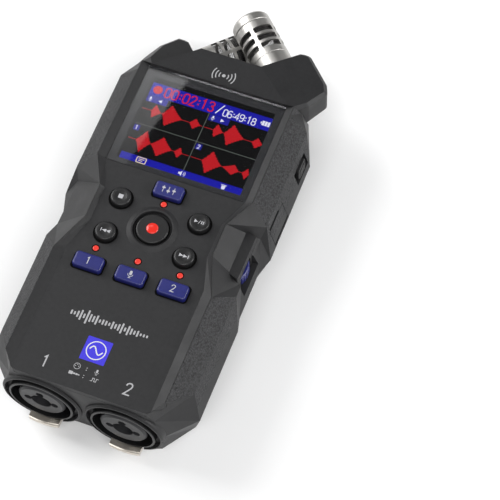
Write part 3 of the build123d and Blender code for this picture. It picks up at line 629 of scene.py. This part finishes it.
DIGITS = {
    "0": [rounded(-0.5, 0.5, -1.0, 1.0, 0.48)],
    "1": [[(-0.36, 0.62), (0.02, 1.0), (0.02, -1.0)]],
    "2": [[(-0.48, 0.5), (-0.4, 0.8), (-0.15, 1.0), (0.2, 1.0), (0.42, 0.82), (0.48, 0.55),
           (0.36, 0.2), (-0.5, -1.0), (0.52, -1.0)]],
    "3": [[(-0.48, 0.6), (-0.3, 0.92), (0.0, 1.0), (0.32, 0.88), (0.45, 0.56), (0.3, 0.2),
           (-0.08, 0.08)],
          [(-0.08, 0.08), (0.34, -0.1), (0.5, -0.5), (0.34, -0.88), (0.0, -1.0), (-0.34, -0.9),
           (-0.5, -0.58)]],
    "4": [[(0.52, -0.42), (-0.55, -0.42), (0.22, 1.0), (0.22, -1.0)]],
    "6": [[(0.42, 0.72), (0.2, 0.98), (-0.12, 0.98), (-0.38, 0.75), (-0.5, 0.2), (-0.5, -0.4)],
          rounded(-0.5, 0.5, -1.0, 0.12, 0.46)],
    "8": [rounded(-0.42, 0.42, 0.08, 1.0, 0.4), rounded(-0.5, 0.5, -1.0, 0.08, 0.46)],
    "9": [[(-0.42, -0.72), (-0.2, -0.98), (0.12, -0.98), (0.38, -0.75), (0.5, -0.2), (0.5, 0.4)],
          rounded(-0.5, 0.5, -0.12, 1.0, 0.46)],
}
CLOSED_DIGIT_LOOPS = {"0": (0,), "6": (1,), "8": (0, 1), "9": (1,)}


def loop_ribbon(points, width):
    """Two outlines that together draw a closed loop with a pen: its two halves."""
    half = len(points) // 2
    first = points[:half + 1]
    second = points[half:] + points[:1]
    return [ribbon(first, width), ribbon(second, width)]


def digit(character, height, width):
    """Outlines of one digit of the given height, centred, drawn with a pen of the given width."""
    if character == ":":
        dot = rectangle(-width * 0.6, width * 0.6, -width * 0.6, width * 0.6)
        return moved([dot], 0, height * 0.2) + moved([dot], 0, -height * 0.2)
    scale = height / 2
    outlines = []
    for index, line in enumerate(DIGITS[character]):
        points = [(x * scale, y * scale) for x, y in line]
        if index in CLOSED_DIGIT_LOOPS.get(character, ()):
            outlines += loop_ribbon(points, width)
        else:
            outlines.append(ribbon(points, width))
    return outlines


def number(text, height, pen, pitch):
    """Outlines of a run of digits centred on the origin; a colon takes half a place."""
    steps = [pitch * (0.55 if c == ":" else 1.0) for c in text]
    x = -sum(steps) / 2
    outlines = []
    for character, step in zip(text, steps):
        outlines += moved(digit(character, height, pen), x + step / 2, 0)
        x += step
    return outlines


# ------------------------------------------------------------------ symbols
# Outlines in millimetres about each symbol's own centre.
def triangle(x0, x1, half):
    """Arrow head with its base at x0 and its point at x1."""
    return [(x0, -half), (x1, 0.0), (x0, half)]


def stop_symbol():
    return [rectangle(-0.75, 0.75, -0.72, 0.72)]


def skip_symbol():
    """Two arrow heads and a bar, pointing to +x."""
    return [triangle(-1.55, -0.25, 0.55), triangle(-0.25, 1.05, 0.55),
            rectangle(1.2, 1.45, -0.55, 0.55)]


def play_symbol():
    """An arrow head, a slash and a pause sign."""
    slash = ribbon([(-0.25, -0.6), (0.25, 0.6)], 0.16)
    return [triangle(-1.6, -0.45, 0.55), slash, rectangle(0.6, 0.88, -0.52, 0.52),
            rectangle(1.16, 1.44, -0.52, 0.52)]


def fader_symbol():
    """Three mixer faders at different heights."""
    outlines = []
    for x, knob in ((-1.7, 0.45), (0.0, -0.4), (1.7, 0.15)):
        outlines.append(rectangle(x - 0.1, x + 0.1, -1.15, knob - 0.28))
        outlines.append(rectangle(x - 0.1, x + 0.1, knob + 0.28, 1.15))
        outlines.append(rounded(x - 0.5, x + 0.5, knob - 0.28, knob + 0.28, 0.12))
    return outlines


def microphone_symbol():
    cradle = ring_points(0.95, 13, 180, 180, (0.0, 0.1))
    return [rounded(-0.48, 0.48, -0.3, 1.45, 0.47), ribbon(cradle, 0.2),
            rectangle(-0.1, 0.1, -1.3, -0.95), rectangle(-0.55, 0.55, -1.5, -1.3)]


def sound_symbol():
    """A dot with arcs spreading to both sides."""
    outlines = [ring_points(0.75, 20)]
    for radius in (1.9, 3.3, 4.7):
        arc = ribbon(ring_points(radius, 13, -34, 68), 0.42)
        outlines += [arc] + mirrored([arc])
    return outlines


def level_symbol():
    """A row of bars whose heights follow two slow swells."""
    outlines = []
    count, pitch = 25, 1.0
    for i in range(count):
        t = i - (count - 1) / 2
        swell = math.exp(-((t + 7.0) / 4.0) ** 2) + 0.75 * math.exp(-((t - 4.5) / 5.0) ** 2)
        half = 0.3 + 2.1 * swell * (0.62 + 0.38 * math.cos(2.4 * i))
        outlines.append(rounded(t * pitch - 0.27, t * pitch + 0.27, -half, half, 0.2, 3))
    return outlines


def wave_badge_symbol():
    """A sine wave in a ring."""
    outlines = loop_ribbon(ring_points(2.9, 48), 0.32)
    curve = [(-2.1 + 4.2 * i / 24, 1.15 * math.sin(2 * math.pi * i / 24)) for i in range(25)]
    return outlines + [ribbon(curve, 0.38)]


def three_pin_symbol():
    outlines = loop_ribbon(ring_points(0.95, 28), 0.16)
    pins = ring_points(0.48, 3, 0, 180)
    return outlines + [ring_points(0.15, 10, centre=pin) for pin in pins]


def plug_symbol():
    """Phone plug seen from the side, tip to the right."""
    tip = [(1.5, -0.22), (1.9, -0.22), (2.2, 0.0), (1.9, 0.22), (1.5, 0.22)]
    return [rounded(-1.9, -0.4, -0.6, 0.6, 0.15), rectangle(-0.3, 0.5, -0.3, 0.3),
            rectangle(0.62, 1.4, -0.3, 0.3), tip]


def square_wave_symbol():
    line = [(-1.2, -0.5), (-0.6, -0.5), (-0.6, 0.5), (0.0, 0.5), (0.0, -0.5), (0.6, -0.5),
            (0.6, 0.5), (1.2, 0.5)]
    return [ribbon(line, 0.18)]


# ------------------------------------------------------------------ printed marks
ROUND_TOP, BLUE_TOP, RECORD_TOP = 1.7, 1.8, 0.7     # heights of the keys' tops
INK_SINK = -0.005                           # printed marks start just inside the panel
KEY_DIGIT, JACK_DIGIT, COLON = (2.3, 0.26), (3.7, 0.42), (1.8, 0.22)    # height and pen
JACK_MARKS_Y, LABEL_ROW_Y = -49.9, 1.25
BADGE, BADGE_HALF = (-0.3, -41.7), 3.9
HEAD_SLOPE = -0.4 / 11.6                    # fall of the head's top towards +y
LAMPS = [(0.0, 10.8), (-13.6, -10.2), (0.0, -10.1), (13.6, -10.2)]
DISH_RADIUS, DISH_CENTRE = 7.95, 7.7        # the round keys' dished tops
# the painted shade in the gaps round the keys and lamps: outer and inner limit
ROUND_GAP_SHADE, LAMP_GAP_SHADE = (3.85, 3.3), (1.25, 0.92)
BLUE_GAP_SHADE = [(5.15, 3.05, 1.3), (4.68, 2.58, 0.85)]  # half width, half height and corner radius
DOT_RADIUS, DOT_RISE = 1.85, 0.42           # the dome in the middle of the record key
ROUND_KEYS = ("stop_button", "rewind_button", "play_button", "forward_button")
BLUE_KEYS = ("mixer_button", "mic_button", "track_1_button", "track_2_button")


def dish(x, y):
    """Height of a round key's dished top above its rim."""
    reach = math.hypot(x, y)
    return min(0.0, DISH_CENTRE - math.sqrt(DISH_RADIUS ** 2 - reach ** 2))


def finely(outlines, step=0.25):
    """The same outlines with points added along long sides, so that they can follow a dish."""
    fine = []
    for outline in outlines:
        points = []
        for a, b in zip(outline, outline[1:] + outline[:1]):
            parts = max(1, math.ceil(math.dist(a, b) / step))
            points += [(a[0] + (b[0] - a[0]) * k / parts, a[1] + (b[1] - a[1]) * k / parts)
                       for k in range(parts)]
        fine.append(points)
    return fine


def centre_of(node):
    """Middle of a node's box, in millimetres in the design datum."""
    low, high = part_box(node)
    middle = (low + high) / 2
    return middle.x / MM, (middle.y - ROW_Y) / MM


def make_key_marks(materials):
    round_marks = (stop_symbol(), mirrored(skip_symbol()), play_symbol(), skip_symbol())
    for body, outlines in zip(ROUND_KEYS, round_marks):
        x, y = centre_of(body)
        flat_piece(f"{body}_symbol", finely(outlines), x, y, ROUND_TOP - 0.01, materials["key_ink"],
                   body, "grey_keys", height=dish)
    blue_marks = (fader_symbol(), moved(microphone_symbol(), 0, 0, 0.85), digit("1", *KEY_DIGIT),
                  digit("2", *KEY_DIGIT))
    for body, outlines in zip(BLUE_KEYS, blue_marks):
        x, y = centre_of(body)
        flat_piece(f"{body}_symbol", outlines, x, y, BLUE_TOP - 0.005, materials["key_ink"],
                   body, "blue_keys")


def hollow(outer, inner):
    """Closed ring between two outlines with the same number of points, as quads."""
    count = len(outer)
    return [[outer[i], outer[(i + 1) % count], inner[(i + 1) % count], inner[i]]
            for i in range(count)]


def make_painted_key_shade(materials):
    """Flat dark rings round the keys and lamps: painted shade standing for the shaded gaps and
    chamfered edges of the panel's openings.
    """
    round_shade_ring = hollow(*(ring_points(radius, 40) for radius in ROUND_GAP_SHADE))
    blue_shade_ring = hollow(*(rounded(-half_x, half_x, -half_y, half_y, radius, 6)
                        for half_x, half_y, radius in BLUE_GAP_SHADE))
    lamp_shade_ring = hollow(*(ring_points(radius, 24) for radius in LAMP_GAP_SHADE))
    rings = []
    for body in ROUND_KEYS:
        rings += moved(round_shade_ring, *centre_of(body))
    for body in BLUE_KEYS:
        rings += moved(blue_shade_ring, *centre_of(body))
    for place in LAMPS:
        rings += moved(lamp_shade_ring, *place)
    # a flat near-black sheet on the panel: painted shade round each key and lamp
    flat_piece("key_gap_shade_rings", rings, 0, 0, -0.01, materials["painted_gap_shade"], ROOT, "panel")


def make_panel_marks(materials):
    grey, white, blue = materials["grey_ink"], materials["white_ink"], materials["blue_ink"]
    digits = moved(digit("1", *JACK_DIGIT), -13.0, 0) + moved(digit("2", *JACK_DIGIT), 13.2, 0)
    flat_piece("jack_digits", digits, 0, JACK_MARKS_Y, INK_SINK, grey, ROOT, "panel")
    flat_piece("level_mark", level_symbol(), 0.0, -32.4, INK_SINK, grey, ROOT, "panel")
    ground = rounded(-BADGE_HALF, BADGE_HALF, -BADGE_HALF, BADGE_HALF, 0.25)
    flat_piece("badge_ground", [ground], *BADGE, INK_SINK, blue, ROOT, "panel")
    flat_piece("badge_wave", wave_badge_symbol(), *BADGE, 0.02, white, ROOT, "panel")
    labels = moved(three_pin_symbol(), -3.6, LABEL_ROW_Y)
    labels += moved(digit(":", *COLON), -0.6, LABEL_ROW_Y)
    labels += moved(microphone_symbol(), 2.6, LABEL_ROW_Y, 0.62)
    labels += moved(plug_symbol(), -3.6, -LABEL_ROW_Y, 0.85)
    labels += moved(digit(":", *COLON), -0.6, -LABEL_ROW_Y)
    labels += moved(square_wave_symbol(), 2.8, -LABEL_ROW_Y)
    flat_piece("jack_pictograms", labels, 0.0, JACK_MARKS_Y + 0.5, INK_SINK, grey, ROOT, "panel")
    flat_piece("head_mark", moved(sound_symbol(), 0, 0, 0.78), 0.4, 60.6, HEAD_SLOPE * 4.2 - 0.01,
               grey, ROOT, "casing", height=lambda x, y: HEAD_SLOPE * y)


def make_record_dot(materials):
    """Low glassy dome in the middle of the record key."""
    form = bmesh.new()
    rings, count = 7, 40
    foot = RECORD_TOP - 0.02
    loops = []
    for k in range(rings):
        angle = math.radians(90 * k / rings)
        r, z = DOT_RADIUS * math.cos(angle), DOT_RISE * math.sin(angle)
        loops.append([form.verts.new(at(px, RECORD_Y + py, foot + z))
                      for px, py in ring_points(r, count)])
    crown = form.verts.new(at(0, RECORD_Y, foot + DOT_RISE))
    for low, high in zip(loops, loops[1:]):
        for i in range(count):
            j = (i + 1) % count
            form.faces.new((low[i], low[j], high[j], high[i]))
    for i in range(count):
        form.faces.new((loops[-1][i], loops[-1][(i + 1) % count], crown))
    form.faces.new(loops[0][::-1])
    piece = object_from(form, "record_dot", materials["record_red"], smooth=True)
    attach(piece, "record_button")


# ------------------------------------------------------------------ screen
LCD_Z, LAYER = -1.1, 0.02                   # top of the display panel, and one layer's step
SCREEN = (-20.35, 20.45, 22.1, 53.1)        # the picture's x limits, then its y limits
LEFT, RIGHT = -19.45, 20.45                 # x limits of what it shows
TOP_BAR, BOTTOM_BAR = (46.45, 51.2), (22.1, 24.5)   # y limits
GRID_X, GRID_Y, GRID_HALF = 1.0, 35.5, 0.08
GAP_SHADE_NEAR, GAP_SHADE_SIDE, GAP_SHADE_END = 0.005, 0.05, 0.06  # from the window to the faces of the dark strip of painted shade round it
BORDER_Z, BORDER_DEPTH, GAP_SHADE_Z, GAP_SHADE_DEPTH = -0.99, 0.03, -0.98, 0.96
UPPER_WAVE, LOWER_WAVE, WAVE_GAP = 41.2, 29.8, 0.3
WAVE_LINE, WAVE_POWER, RAGGED = 0.08, 1.15, 0.22    # resting half height, swell, uneven columns
MIC_TAG_Y, TRACK_TAG_Y = (44.05, 46.3), (32.9, 34.9)
MIC_MARK_Y, TRACK_MARK_Y, FOOT_MARK_Y = 45.15, 33.9, 23.2
COUNTER, COUNTER_Y = (3.5, 0.42, 2.38), 48.9        # digit height, pen and pitch
TOTAL, TOTAL_Y = (2.5, 0.30, 1.54), 48.2
TRACK_DIGIT = (1.4, 0.22)                           # height and pen
# bursts of sound: left end, peak and right end in x, and half height
MIC_BURSTS = [(-16.4, -15.5, -13.0, 2.5), (-12.8, -10.7, -6.0, 4.0), (-3.7, -2.0, 0.1, 2.0)]
MIC_SHIFT = 20.6                            # from the left microphone's bursts to the right one's
TRACK_1_BURSTS = [(-17.0, -14.6, -12.0, 4.1), (-12.1, -8.9, -4.9, 3.7), (-4.3, -2.7, -1.5, 2.0)]
TRACK_2_BURSTS = [(4.8, 7.3, 11.4, 4.2), (11.4, 15.2, 17.2, 1.9), (18.0, 19.5, 20.5, 2.0)]


def wave_columns(bursts, x0, x1, y, column=0.34):
    """A recorded sound drawn in columns, with its middle line at y."""
    outlines = []
    count = round((x1 - x0) / column)
    for i in range(count):
        x = x0 + (i + 0.5) * column
        half = WAVE_LINE
        for left, peak, right, rise in bursts:
            if left < x < right:
                share = (x - left) / (peak - left) if x < peak else (right - x) / (right - peak)
                ragged = 1 - RAGGED * (i % 2) * (WAVE_POWER - share)
                half = max(half, rise * share ** WAVE_POWER * ragged)
        outlines.append(rectangle(x - column / 2, x + column / 2, y - half, y + half))
    return outlines


def battery_symbol():
    return [rectangle(-1.5, -1.15, -0.35, 0.35), rectangle(-1.05, -0.25, -0.85, 0.85),
            rectangle(-0.1, 0.65, -0.85, 0.85), rectangle(0.8, 1.5, -0.85, 0.85)]


def speaker_symbol():
    cone = [(-1.2, -0.35), (-0.75, -0.35), (-0.1, -0.9), (-0.1, 0.9), (-0.75, 0.35), (-1.2, 0.35)]
    arcs = [ring_points(0.55, 7, -50, 100), ring_points(1.0, 9, -50, 100)]
    return [cone] + [ribbon(arc, 0.16) for arc in arcs]


def bin_symbol():
    bucket = [(-0.65, 0.35), (0.65, 0.35), (0.5, -0.9), (-0.5, -0.9)]
    return [rectangle(-0.9, 0.9, 0.5, 0.68), bucket]


def list_symbol():
    frame_line = loop_ribbon(rounded(-1.5, 1.5, -0.95, 0.95, 0.3), 0.28)
    return frame_line + [rectangle(-0.9, 0.9, 0.2, 0.42), rectangle(-0.9, 0.4, -0.35, -0.13)]


def make_screen(materials):
    def lit(name, outlines, layer, material):
        flat_piece(name, outlines, 0.0, 0.0, LCD_Z + 0.005 + LAYER * layer, materials[material],
                   ROOT, "display", thickness=0.015)

    x0, x1, y0, y1 = SCREEN
    lit("screen_ground", [rectangle(x0, x1, y0, y1)], 0, "screen_off")
    bars = [rectangle(LEFT, RIGHT, *TOP_BAR), rectangle(LEFT, RIGHT, *BOTTOM_BAR)]
    tags = [rectangle(LEFT + 0.05, -12.6, *MIC_TAG_Y), rectangle(1.4, 8.0, *MIC_TAG_Y),
            rectangle(LEFT + 0.2, -17.4, *TRACK_TAG_Y), rectangle(1.4, 3.3, *TRACK_TAG_Y)]
    lit("screen_bars", bars, 1, "screen_blue")
    lit("screen_tags", tags, 3, "screen_tag")
    grid_left, grid_right = GRID_X - GRID_HALF, GRID_X + GRID_HALF
    grid_low, grid_high = GRID_Y - GRID_HALF, GRID_Y + GRID_HALF
    lines = [rectangle(grid_left, grid_right, BOTTOM_BAR[1], TOP_BAR[0]),
             rectangle(LEFT, grid_left, grid_low, grid_high),
             rectangle(grid_right, RIGHT, grid_low, grid_high)]
    lit("screen_lines", lines, 1, "screen_grey")

    right_mic = [(left + MIC_SHIFT, peak + MIC_SHIFT, right + MIC_SHIFT, rise)
                 for left, peak, right, rise in MIC_BURSTS]
    left_half, right_half = (LEFT, GRID_X - WAVE_GAP), (GRID_X + WAVE_GAP, RIGHT)
    waves = (wave_columns(MIC_BURSTS, *left_half, UPPER_WAVE)
             + wave_columns(right_mic, *right_half, UPPER_WAVE)
             + wave_columns(TRACK_1_BURSTS, *left_half, LOWER_WAVE)
             + wave_columns(TRACK_2_BURSTS, *right_half, LOWER_WAVE))
    lit("screen_waves", waves, 2, "screen_red")

    counter = [ring_points(1.5, 28, centre=(-17.2, COUNTER_Y))]
    counter += moved(number("00:02:13", *COUNTER), -6.5, COUNTER_Y)
    lit("screen_counter", counter, 2, "screen_bright_red")
    total = [ribbon([(2.7, 47.1), (4.6, 50.7)], 0.34)]
    total += moved(number("06:49:18", *TOTAL), 10.4, TOTAL_Y)
    total += moved(battery_symbol(), 18.7, 48.8)
    lit("screen_total", total, 2, "screen_white")
    marks = []
    for mic_x, arrow_x, arrow in ((-18.2, -15.0, triangle(0.6, -0.6, 0.6)),
                                  (2.7, 5.9, triangle(-0.6, 0.6, 0.6))):
        marks += moved(microphone_symbol(), mic_x, MIC_MARK_Y, 0.55)
        marks += moved([arrow], arrow_x, MIC_MARK_Y)
    for character, x in (("1", -18.35), ("2", 2.35)):
        marks += moved(digit(character, *TRACK_DIGIT), x, TRACK_MARK_Y)
    marks += moved(speaker_symbol(), 1.0, FOOT_MARK_Y) + moved(bin_symbol(), 14.6, FOOT_MARK_Y)
    lit("screen_marks", marks, 4, "screen_white")
    lit("screen_list_mark", moved(list_symbol(), -12.5, 23.25), 4, "screen_cream")


def make_window_border(materials):
    """Dark print inside the window, round the picture, and a dark strip of painted shade in the gap
    round the window.
    """
    left, right = WINDOW_LOW.x / MM, WINDOW_HIGH.x / MM
    low, high = (WINDOW_LOW.y - ROW_Y) / MM, (WINDOW_HIGH.y - ROW_Y) / MM
    x0, x1, y0, y1 = SCREEN
    strips = [rectangle(left, right, y1, high), rectangle(left, right, low, y0),
              rectangle(left, x0, y0, y1), rectangle(x1, right, y0, y1)]
    flat_piece("window_border", strips, 0, 0, BORDER_Z, materials["window_print"], ROOT,
               "display", thickness=BORDER_DEPTH)
    near, side, end = GAP_SHADE_NEAR, GAP_SHADE_SIDE, GAP_SHADE_END
    rim = [rectangle(left - side, right + side, high + near, high + end),
           rectangle(left - side, left - near, low, high),
           rectangle(left - side, right + side, low - end, low - near),
           rectangle(right + near, right + side, low, high)]
    # painted shade: a near-black strip filling the gap between the window and the shell
    flat_piece("window_gap_shade", rim, 0, 0, GAP_SHADE_Z, materials["painted_gap_shade"], ROOT, "display",
               thickness=GAP_SHADE_DEPTH)


# ------------------------------------------------------------------ microphone gauze
MIC_X, MIC_Y, MIC_Z, SPLIT_Z = 14.2, 72.2, -8.5, -15.0
GAUZE_R, GAUZE_Z0, GAUZE_Z1 = 5.45, 5.0, 18.1
GAUZE_WIRES, GAUZE_RINGS = 54, 24
GAUZE_WAVE, WIRE_R = 0.07, 0.075            # how far the wires swing in and out, and their radius


def capsule_frame(end):
    """Matrix from a capsule's own frame (z along its axis, millimetres) to the row's frame."""
    side = 1 if end == "front" else -1
    z = MIC_Z if end == "front" else 2 * SPLIT_Z - MIC_Z
    axis = Vector((-side, 1, 0)).normalized()
    across = Vector((0, 0, side))
    turn = Matrix((across, axis.cross(across), axis)).transposed().to_4x4()
    return Matrix.Translation(at(side * MIC_X, MIC_Y, z)) @ turn @ Matrix.Scale(MM, 4)


def tube_along(form, points, radius, closed):
    """Three-sided wire along points, turned so that one side faces away from the axis."""
    count = len(points)
    rings = []
    for i, point in enumerate(points):
        after = points[(i + 1) % count] if closed or i < count - 1 else point
        before = points[i - 1] if closed or i > 0 else point
        along = (after - before).normalized()
        out = Vector((point.x, point.y, 0)).normalized()
        side = along.cross(out).normalized()
        ring = []
        for k in range(3):
            angle = math.radians(120 * k)
            spoke = math.cos(angle) * out + math.sin(angle) * side
            ring.append(form.verts.new(point + radius * spoke))
        rings.append(ring)
    pairs = zip(rings, rings[1:] + rings[:1]) if closed else zip(rings, rings[1:])
    for a, b in pairs:
        for k in range(3):
            n = (k + 1) % 3
            form.faces.new((a[k], a[n], b[n], b[k]))
    if not closed:
        form.faces.new(rings[0])
        form.faces.new(rings[-1][::-1])


def make_gauze(end, materials):
    """Woven wire sleeve inside a capsule's slots, in place of the plain CAD sleeve."""
    form = bmesh.new()
    pitch = (GAUZE_Z1 - GAUZE_Z0) / (GAUZE_RINGS - 1)
    for j in range(GAUZE_WIRES):
        angle = 2 * math.pi * j / GAUZE_WIRES
        points = []
        for i in range(2 * GAUZE_RINGS - 1):
            r = GAUZE_R + GAUZE_WAVE * math.cos(math.pi * i / 2) * (-1) ** j
            z = GAUZE_Z0 + pitch * i / 2
            points.append(Vector((r * math.cos(angle), r * math.sin(angle), z)))
        tube_along(form, points, WIRE_R, False)
    for i in range(GAUZE_RINGS):
        points = []
        for j in range(2 * GAUZE_WIRES):
            angle = math.pi * j / GAUZE_WIRES
            swing = math.cos(math.pi * j / 2) * (-1) ** i if j % 2 == 0 else 0
            r = GAUZE_R - GAUZE_WAVE * swing
            z = GAUZE_Z0 + pitch * i
            points.append(Vector((r * math.cos(angle), r * math.sin(angle), z)))
        tube_along(form, points, WIRE_R, True)
    form.transform(capsule_frame(end))
    bmesh.ops.recalc_face_normals(form, faces=form.faces)
    piece = object_from(form, f"mic_gauze_{end}", materials["wire"], smooth=True)
    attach(piece, ROOT)
    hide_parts(f"mic_mesh_{end}")


def main():
    make_camera()
    make_stage()
    materials = {**body_materials(), **lit_materials()}
    dress_nodes(materials)
    make_key_marks(materials)
    make_painted_key_shade(materials)
    make_panel_marks(materials)
    make_record_dot(materials)
    make_window_border(materials)
    make_screen(materials)
    for end in ("front", "rear"):
        make_gauze(end, materials)


main()
